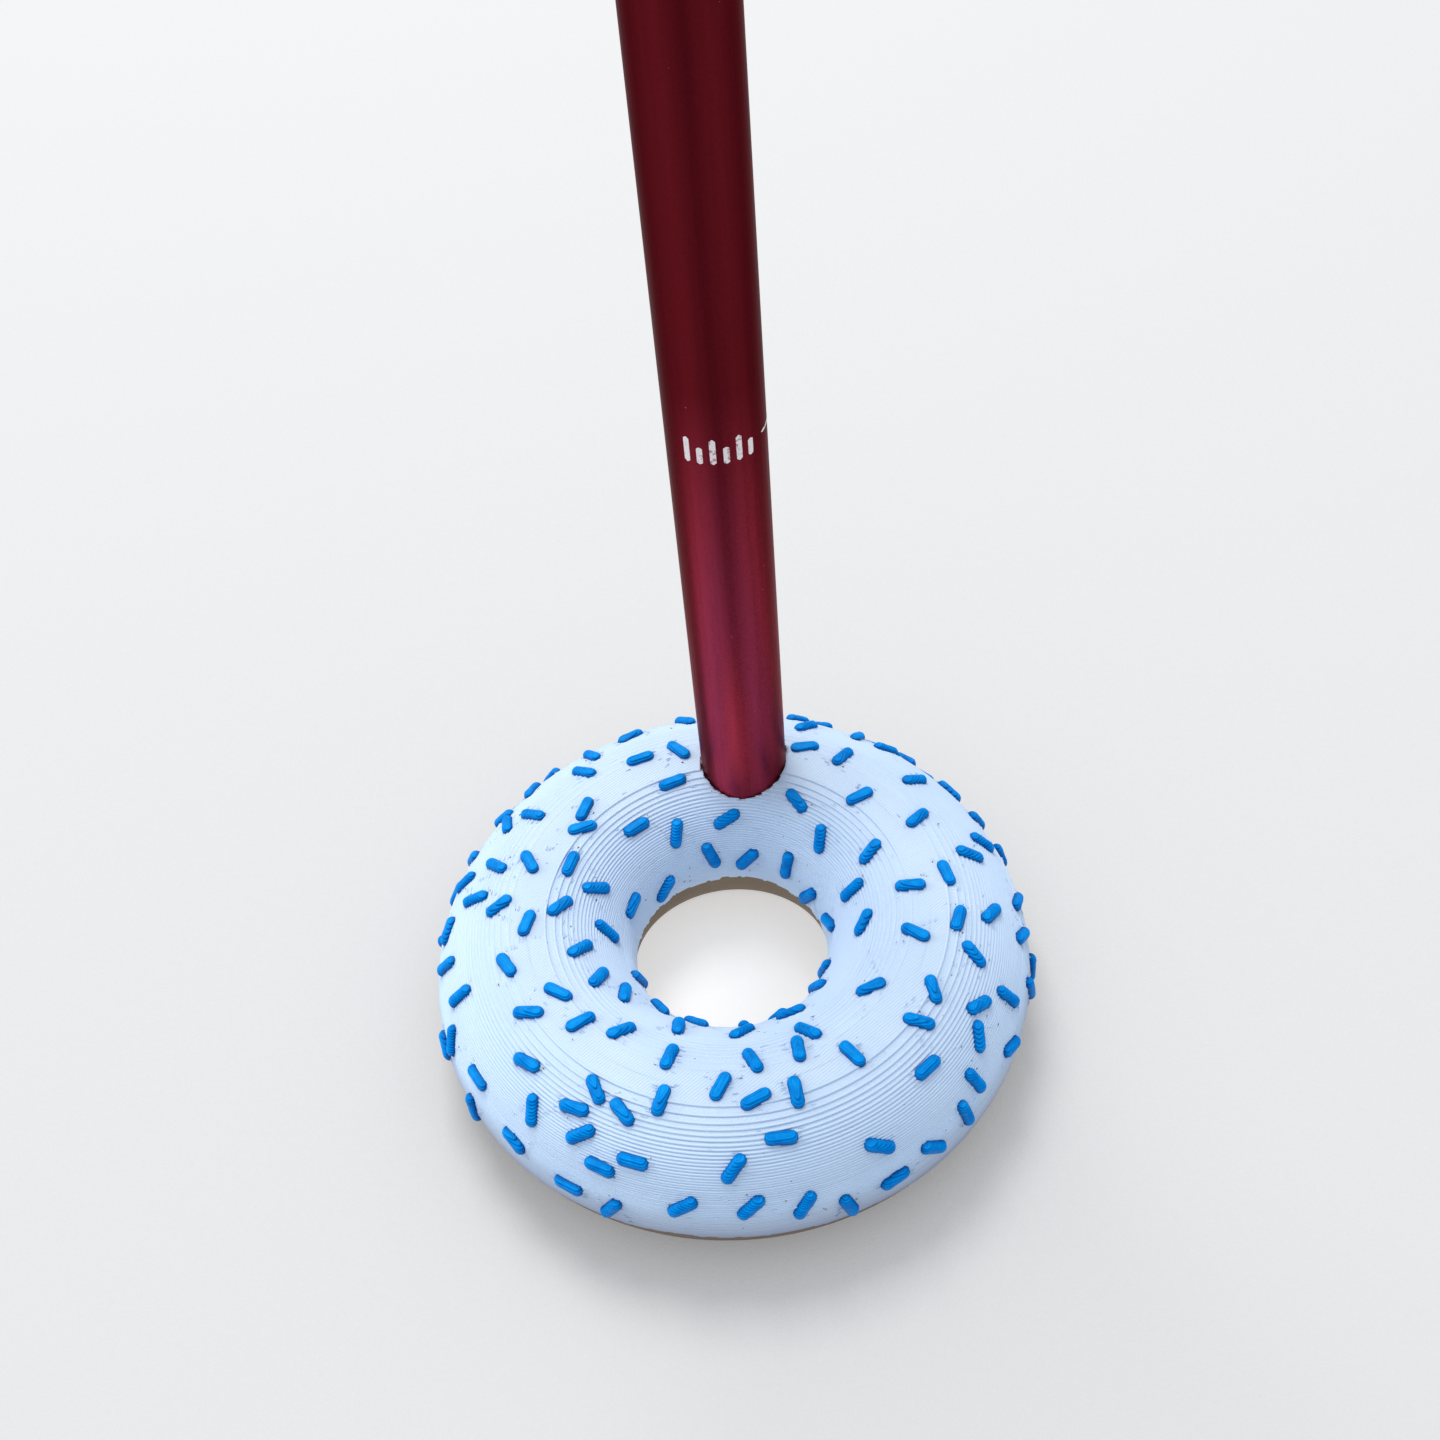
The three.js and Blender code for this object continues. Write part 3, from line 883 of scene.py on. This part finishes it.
def slab_rings(topmost):
    """The rings of one slab from its bottom up: (inset, height over its middle, painted shade under the
    layer's edge).

    The topmost slab has a shallow groove round its top.
    """
    rings = [(0.5 * SPRINKLE_RADIUS, -LAYER / 2, 1.0)]
    for degrees in (-84, -35, 35, 84):
        turn = math.radians(degrees)
        inset = SPRINKLE_BEAD * (1 - math.cos(turn))
        rings.append((inset, LAYER / 2 * math.sin(turn), max(0.0, -math.sin(turn))))
    if topmost:
        for inset, lift, shade in ((0.26, 0.5, 0.0), (0.36, 0.36, 0.3), (0.47, 0.46, 0.0)):
            rings.append((inset * MM, LAYER * lift, shade))
    else:
        rings.append((0.5 * SPRINKLE_RADIUS, LAYER / 2, 0.4))
    return rings


def height_over_icing(points):
    """How far points stand out of the oval ring, negative inside."""
    across = np.hypot(points[:, 0], points[:, 1]) - RING_RADIUS
    return (np.hypot(across / HALF_WIDTH, (points[:, 2] - MID_HEIGHT) / HALF_HEIGHT) - 1) * HALF_HEIGHT


def sprinkle_mesh(name, ends, seed):
    """Sprinkles as stacks of printed slabs, one for each layer that stands out of the icing."""
    draw = random.Random(seed)
    shade_reach = 0.7 * MM
    shapes, shades = [], []
    for start, end in ends:
        start, end = np.array(start), np.array(end)
        lowest = min(start[2], end[2]) - SPRINKLE_RADIUS
        highest = max(start[2], end[2]) + SPRINKLE_RADIUS
        layers = range(int(lowest / LAYER), int(highest / LAYER) + 1)
        outlines = {layer: slab_outline(start, end, (layer + 0.5) * LAYER) for layer in layers}
        found = {layer: outline for layer, outline in outlines.items() if outline}
        for layer, (middle, rays, reach) in found.items():
            skin = middle + rays * (reach - draw.uniform(0.01, 0.07) * MM)[:, None]
            if (height_over_icing(skin) < -0.1 * MM).all():
                continue
            inward, room = toward_axis(skin, start, end)
            points = []
            rings = slab_rings(layer + 1 not in found)
            for inset, lift, shade in rings:
                ring = skin + inward * np.minimum(inset, 0.8 * room)[:, None]
                ring[:, 2] += lift
                points += ring.tolist()
                # painted shade: darker where the slab stands close to the icing
                near_icing = np.clip(1 - height_over_icing(ring) / shade_reach, 0, 1)
                shades += np.maximum(near_icing, shade).tolist()
            faces = grid_faces(len(rings), SPRINKLE_SIDES, closed_rows=False)
            faces.append(list(range(SPRINKLE_SIDES))[::-1])
            faces.append(list(range(len(points) - SPRINKLE_SIDES, len(points))))
            shapes.append((points, faces))
    return make_object(name, *joined(shapes), values={"shade": shades})


def hair(start, way, length, thick):
    """A drawn-out thread of plastic: a tapered four-sided prism."""
    side = way.cross(Vector((0, 0, 1))).normalized() * thick
    lift = Vector((0, 0, thick))
    tip = start + way * length
    tip_share = 0.35
    ring = [start + side, start + lift, start - side, start - lift]
    points = ring + [tip + (corner - start) * tip_share for corner in ring]
    faces = [(0, 1, 5, 4), (1, 2, 6, 5), (2, 3, 7, 6), (3, 0, 4, 7), (3, 2, 1, 0), (4, 5, 6, 7)]
    return points, faces


def hairs(name, slot, spots, share, lengths, seed):
    """Short threads at the printed ends of the sprinkles' layers, along the ring's own layers."""
    draw = random.Random(seed)
    row_pitch, overshoot = LAYER * 1.15, 0.3 * MM
    shapes = []
    for around, over, turn in spots:
        long_side = abs(math.sin(turn))
        steep = long_side > 0.35
        for row in range(-7, 8):
            if draw.random() > share:
                continue
            along_slope = row * row_pitch
            reach = SPRINKLE_LENGTH / 2 * long_side + SPRINKLE_RADIUS * (1 - long_side)
            if abs(along_slope) > reach + overshoot:
                continue
            shift = along_slope / HALF_HEIGHT
            side = draw.choice((-1, 1))
            lean = along_slope / math.tan(turn) if steep else 0.0
            away = SPRINKLE_RADIUS / long_side if steep else SPRINKLE_LENGTH / 2
            across = lean + side * (away + draw.uniform(-0.25, 0.25) * MM)
            spot_around = around + across / (RING_RADIUS + HALF_WIDTH * math.cos(over))
            middle, normal, along, rise = section_frame(spot_around, over + shift)
            way = (along * side + rise * draw.uniform(-0.25, 0.25)).normalized()
            length = draw.uniform(*lengths) * MM
            thick = draw.uniform(0.08, 0.15) * MM
            start = middle + normal * draw.uniform(0.01, 0.09) * MM
            shapes.append(hair(start, way, length, thick))
    dress(make_object(name, *joined(shapes)), slot)


def sprinkles():
    """Three pieces, by where they lie: the outer slope, the crest and the slope to the hole."""
    spots, ends = all_sprinkles()
    zones = {"outer": (-180, 55), "crest": (55, 120), "inner": (120, 180)}
    for seed, (zone, (low, high)) in enumerate(zones.items()):
        chosen = [i for i, spot in enumerate(spots) if low <= math.degrees(spot[1]) < high]
        piece = sprinkle_mesh(f"sprinkles_{zone}", [ends[i] for i in chosen], seed)
        placed = [PLACED_SPRINKLES[i] for i in chosen if i < len(PLACED_SPRINKLES)]
        dress(piece, "sprinkle_plastic", *placed)
    hairs("pale_hairs", "icing_plastic", spots, 0.85, (0.35, 0.95), seed=31)
    hairs("brown_hairs", "dough_plastic", spots, 0.13, (0.1, 0.35), seed=32)


# ---- shaft and its marks


def shaft():
    """The tube, with its ends' edges broken."""
    low, high = SHAFT_LOW.z, SHAFT_HIGH.z
    bore = SHAFT_RADIUS - SHAFT_WALL
    corners = [(SHAFT_RADIUS, low, 1), (SHAFT_RADIUS, high, 1), (bore, high, 1), (bore, low, 1)]
    profile = rounded(corners, 0.25 * MM)
    dress(turned("tube", profile, columns=192), "anodised_tube", "shaft")


MARK_HEIGHT = 95.7 * MM  # middle of the marks over the floor
MARK_MIDDLE = math.radians(-81)  # the side of the shaft that they face
TICK_SPACING = math.radians(15)
TICK_WIDTH = 0.85 * MM
LONG_TICK = 4.2 * MM
SHORT_TICK = 2.8 * MM
INK = 0.02 * MM  # thickness of the print


def stroke(angle, height, along, width, upright):
    """One printed stroke with round ends, wrapped on the shaft: its points and faces."""
    rows, columns = 15, 5
    places = []
    for skin in (SHAFT_RADIUS + INK, SHAFT_RADIUS - INK):
        for i in range(rows):
            share = -1 + 2 * i / (rows - 1)
            slim = math.sqrt(max(0.02, 1 - max(0.0, (abs(share) - 0.82) / 0.18) ** 2))
            for j in range(columns):
                side = (-0.5 + j / (columns - 1)) * width * slim
                length = share * along / 2
                a, z = (side, length) if upright else (length, side)
                turn = angle + a / SHAFT_RADIUS
                places.append((skin * math.cos(turn), AXIS_Y + skin * math.sin(turn), height + z))
    size = rows * columns
    front = grid_faces(rows, columns, False, False)
    faces = front + [[size + i for i in face[::-1]] for face in front]
    rim = list(range(columns))
    rim += [i * columns + columns - 1 for i in range(1, rows)]
    rim += [(rows - 1) * columns + j for j in range(columns - 2, -1, -1)]
    rim += [i * columns for i in range(rows - 2, 0, -1)]
    for here, there in zip(rim, rim[1:] + rim[:1]):
        faces.append([there, here, size + here, size + there])
    return places, faces


def tick_marks():
    """A plain graduation: a row of short and long ticks, and a dash that runs round the shaft."""
    dash_turn, dash_length, dash_width = math.radians(85), 6.5 * MM, 0.45 * MM
    strokes = []
    for i in range(6):
        length = SHORT_TICK if i % 2 else LONG_TICK
        angle = MARK_MIDDLE + (i - 2.4) * TICK_SPACING
        height = MARK_HEIGHT - (LONG_TICK - length) / 2
        strokes.append(stroke(angle, height, length, TICK_WIDTH, True))
    strokes.append(stroke(MARK_MIDDLE + dash_turn, MARK_HEIGHT, dash_length, dash_width, False))
    dress(make_object("tick_marks", *joined(strokes)), "mark_ink")


# ---- grip and knob


def grip_sleeve():
    """The foam sleeve: a slight swell, shallow finger rings and soft rounded ends."""
    widest = GRIP_HIGH.x
    swell = 0.6 * MM
    length = GRIP_HIGH.z - GRIP_LOW.z
    ends = 1.5 * MM
    rings, ring_depth = 11, 0.35 * MM
    steps = 150
    outer = []
    for i in range(steps + 1):
        along = i / steps
        height = GRIP_LOW.z + length * along
        radius = widest - swell + swell * math.sin(along * math.pi) ** 2
        middle = min(1.0, max(0.0, (min(along, 1 - along) - 0.12) / 0.04))
        radius -= middle * ring_depth * max(0.0, math.cos(along * rings * TAU)) ** 6
        radius -= rounding(min(height - GRIP_LOW.z, GRIP_HIGH.z - height), ends)
        outer.append((radius, height))
    profile = outer + [(OVER_SHAFT, GRIP_HIGH.z), (OVER_SHAFT, GRIP_LOW.z)]

    def dents(angle, radius, height):
        wobble = 0.05 * MM * np.sin(3 * angle + 90 * height) * (radius > OVER_SHAFT * 1.05)
        return radius - abs(wobble), height

    dress(turned("foam_sleeve", profile, change=dents), "grip_foam", "grip_sleeve")


def tape_band(node):
    """A band of tape wound round the grip, with the step where its end laps over."""
    low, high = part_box(node)
    outer = high.x
    thick = 0.6 * MM
    inner = outer - thick
    edge = 0.12 * MM
    lap = 0.16 * MM
    corners = [(inner, low.z, 0), (outer, low.z, 1), (outer, high.z, 1), (inner, high.z, 0)]
    profile = []
    outline = rounded(corners, edge)
    for start, end in zip(outline, outline[1:]):
        profile += [(start[0] * (1 - t) + end[0] * t, start[1] * (1 - t) + end[1] * t) for t in (0, 0.5)]
    profile.append((inner, high.z))

    def wind(angle, radius, height):
        turn = (angle - math.radians(250)) % TAU / TAU
        step = np.clip(turn * 40, 0, 1) - turn
        frayed = 0.06 * MM * abs(np.sin(17 * angle))
        outside = radius > inner + 0.3 * thick
        upper = np.sign(height - (low.z + high.z) / 2)
        return radius + outside * lap * (step - 1), height - frayed * upper

    dress(turned(f"{node}_cloth", profile, columns=240, change=wind), "cloth_tape", node)


def grip_collar():
    """The turned ring under the grip, with a chamfer and two fine grooves."""
    low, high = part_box("grip_collar")
    radius = high.x
    chamfer, groove = 1.5 * MM, 0.3 * MM
    corners = [(OVER_SHAFT, low.z, 0.6), (radius - chamfer, low.z, 1), (radius, low.z + chamfer, 1)]
    for share in (0.45, 0.65):
        middle = low.z + (high.z - low.z) * share
        corners += [(radius, middle - groove, 0.6), (radius - groove, middle, 0.6)]
        corners.append((radius, middle + groove, 0.6))
    corners += [(radius, high.z, 1), (OVER_SHAFT, high.z, 0.6)]
    profile = rounded(corners, 0.2 * MM, steps=3)
    dress(turned("turned_collar", profile, columns=192), "anodised_collar", "grip_collar")


def end_knob():
    """The moulded knob: a necked bulb with two rings at its neck and a fine parting line."""
    neck, widest, top = 9.6 * MM, 15 * MM, 8.5 * MM
    washer_low, washer_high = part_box("knob_washer")
    recess = washer_high.x + 2 * GAP
    floor = washer_low.z - GAP
    steps = 90
    height = KNOB_HIGH.z - KNOB_LOW.z
    edge = 0.7 * MM
    ring_depth, ring_width = 0.3 * MM, 0.5 * MM
    outer = []
    for i in range(steps + 1):
        along = i / steps
        bulge = math.sin(along**1.6 * math.pi) * (widest - neck)
        radius = neck + (top - neck) * along + bulge
        for place in (3 * MM, 5 * MM):
            radius -= ring_depth * math.exp(-((along * height - place) / ring_width) ** 2)
        radius -= rounding(min(along, 1 - along) * height, edge)
        outer.append((radius, KNOB_LOW.z + height * along))
    socket_end = SHAFT_HIGH.z + GAP
    profile = outer + [(recess, KNOB_HIGH.z), (recess, floor), (SCREW_HOLE, floor)]
    profile += [(SCREW_HOLE, socket_end), (OVER_SHAFT, socket_end), (OVER_SHAFT, KNOB_LOW.z)]

    def parting(angle, radius, height):
        line = np.exp(-((np.sin(angle) / 0.018) ** 2))
        return radius + (radius > recess * 1.3) * 0.08 * MM * (line - 1), height

    piece = turned("moulded_knob", profile, columns=256, change=parting)
    dress(piece, "knob_rubber", "end_knob")


# ---- fixings


def washer(node):
    """A plain washer with its edges rounded."""
    low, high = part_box(node)
    corners = [(SCREW_HOLE, low.z, 1), (high.x, low.z, 1), (high.x, high.z, 1), (SCREW_HOLE, high.z, 1)]
    profile = rounded(corners, 0.15 * MM, steps=3)
    dress(turned(f"{node}_disc", profile, columns=96), "fixing_steel", node)


def screw(node, head_up):
    """A pan-head screw: a domed head with a cross recess, and a threaded shank."""
    low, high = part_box(node)
    head, head_height = (high.x - low.x) / 2, 1.6 * MM
    shank, pitch, depth = 1.75 * MM, 1.3 * MM, 0.35 * MM
    length = high.z - low.z
    steps = 300
    profile = [(TINY, 0), (head * 0.55, 0.04 * MM), (head * 0.82, 0.22 * MM), (head * 0.96, 0.6 * MM)]
    profile += [(head, 1.0 * MM), (head, head_height - 0.1 * MM), (head - 0.1 * MM, head_height)]
    for i in range(steps + 1):
        along = head_height + (length - head_height) * i / steps
        taper = min(1.0, (length - along) / (2 * MM))
        profile.append((max(TINY, shank * taper), along))

    def thread(angle, radius, height):
        below = height - head_height - 1.5 * MM
        cycle = (below / pitch - angle / TAU) % 1
        groove = depth * (0.5 + 0.5 * np.cos(cycle * TAU)) * (below > 0) * (radius < shank * 1.02)
        return np.maximum(radius - groove * radius / shank, TINY), height

    piece = turned(f"{node}_turned", profile, columns=64, change=thread)
    long, wide, deep = head * 0.55, 0.25 * MM, 1.1 * MM  # halves of a slot of the cross
    for turn in (0, math.pi / 2):
        corners = [
            Matrix.Rotation(turn, 3, "Z") @ Vector((x, y, z))
            for x in (-long, long) for y in (-wide, wide) for z in (-deep, deep)
        ]
        faces = [(0, 1, 3, 2), (4, 6, 7, 5), (0, 4, 5, 1), (2, 3, 7, 6), (0, 2, 6, 4), (1, 5, 7, 3)]
        cut(piece, make_object("slot", [c + Vector((0, AXIS_Y, 0)) for c in corners], faces))
    if head_up:
        flip = Matrix.Translation((0, AXIS_Y, high.z)) @ Matrix.Rotation(math.pi, 4, "X")
        piece.data.transform(flip @ Matrix.Translation((0, -AXIS_Y, 0)))
    else:
        piece.data.transform(Matrix.Translation((0, 0, low.z)))
    dress(piece, "fixing_steel", node)


def inner_parts():
    """CAD nodes whose shape stays as it is, with better materials."""
    for node, slot in (
        ("infill_lattice", "infill_plastic"),
        ("head_plug", "plug_wood"),
        ("knob_plug", "plug_wood"),
    ):
        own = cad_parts[node]
        own.data.materials.clear()
        own.data.materials.append(MATERIALS[slot])


# ---- studio


def floor():
    """A square of paper under the head."""
    half = 3.0
    corners = [(-half, -half), (half, -half), (half, half), (-half, half)]
    mesh = bpy.data.meshes.new("floor")
    mesh.from_pydata([(x, y, DOUGH_LOW.z) for x, y in corners], [], [(0, 1, 2, 3)])
    mesh.materials.append(floor_paper())
    made = in_scene("floor", mesh)
    return made


def aimed(name, data, place, target, roll=0.0):
    """A camera or a light at a place, turned towards a target."""
    made = in_scene(name, data)
    look = (Vector(target) - Vector(place)).to_track_quat("-Z", "Y").to_matrix().to_4x4()
    made.matrix_world = Matrix.Translation(place) @ look @ Matrix.Rotation(roll, 4, "Z")
    return made


def camera():
    """Looks down across the head from the handle's side; the near part of the shaft leaves the view."""
    place = Vector((27.05, -151.49, 242.32)) * MM
    target = Vector((-6.61, 49.86, 11.2)) * MM
    roll = math.radians(-5.578)
    data = bpy.data.cameras.new("camera")
    data.sensor_width = 36
    data.lens = 42.889
    data.clip_start = 5 * MM
    bpy.context.scene.camera = aimed("camera", data, place, target, roll)


def softbox(name, place, target, size, watts):
    """A square area light that faces a target."""
    data = bpy.data.lights.new(name, "AREA")
    data.shape = "RECTANGLE"
    data.size = data.size_y = size
    data.energy = watts
    return aimed(name, data, place, target)


def lights(paper):
    """Soft light from above and behind, and a softbox on the left that leaves the paper alone."""
    world = bpy.data.worlds.new("studio")
    bpy.context.scene.world = world
    world.use_nodes = True
    sky = world.node_tree.nodes["Background"]
    sky.inputs["Color"].default_value = (0.88, 0.93, 1.0, 1)
    sky.inputs["Strength"].default_value = 0.72
    middle = (0, 0, 0.05)
    softbox("overhead", (-0.26, 0.66, 1.28), middle, 0.6, 8.6)
    left = softbox("left", (-1.2, 0.2, 0.6), middle, 0.8, 5.6)
    spared = bpy.data.collections.new("spared_by_left_softbox")
    spared.objects.link(paper)
    spared.collection_objects[0].light_linking.link_state = "EXCLUDE"
    left.light_linking.receiver_collection = spared
    bpy.context.scene.view_settings.view_transform = "Standard"


# ---- everything

camera()
lights(floor())
icing()
dough()
sprinkles()
shaft()
tick_marks()
grip_sleeve()
grip_collar()
tape_band("lower_tape_band")
tape_band("upper_tape_band")
end_knob()
washer("head_washer")
washer("knob_washer")
screw("head_screw", head_up=False)
screw("knob_screw", head_up=True)
inner_parts()
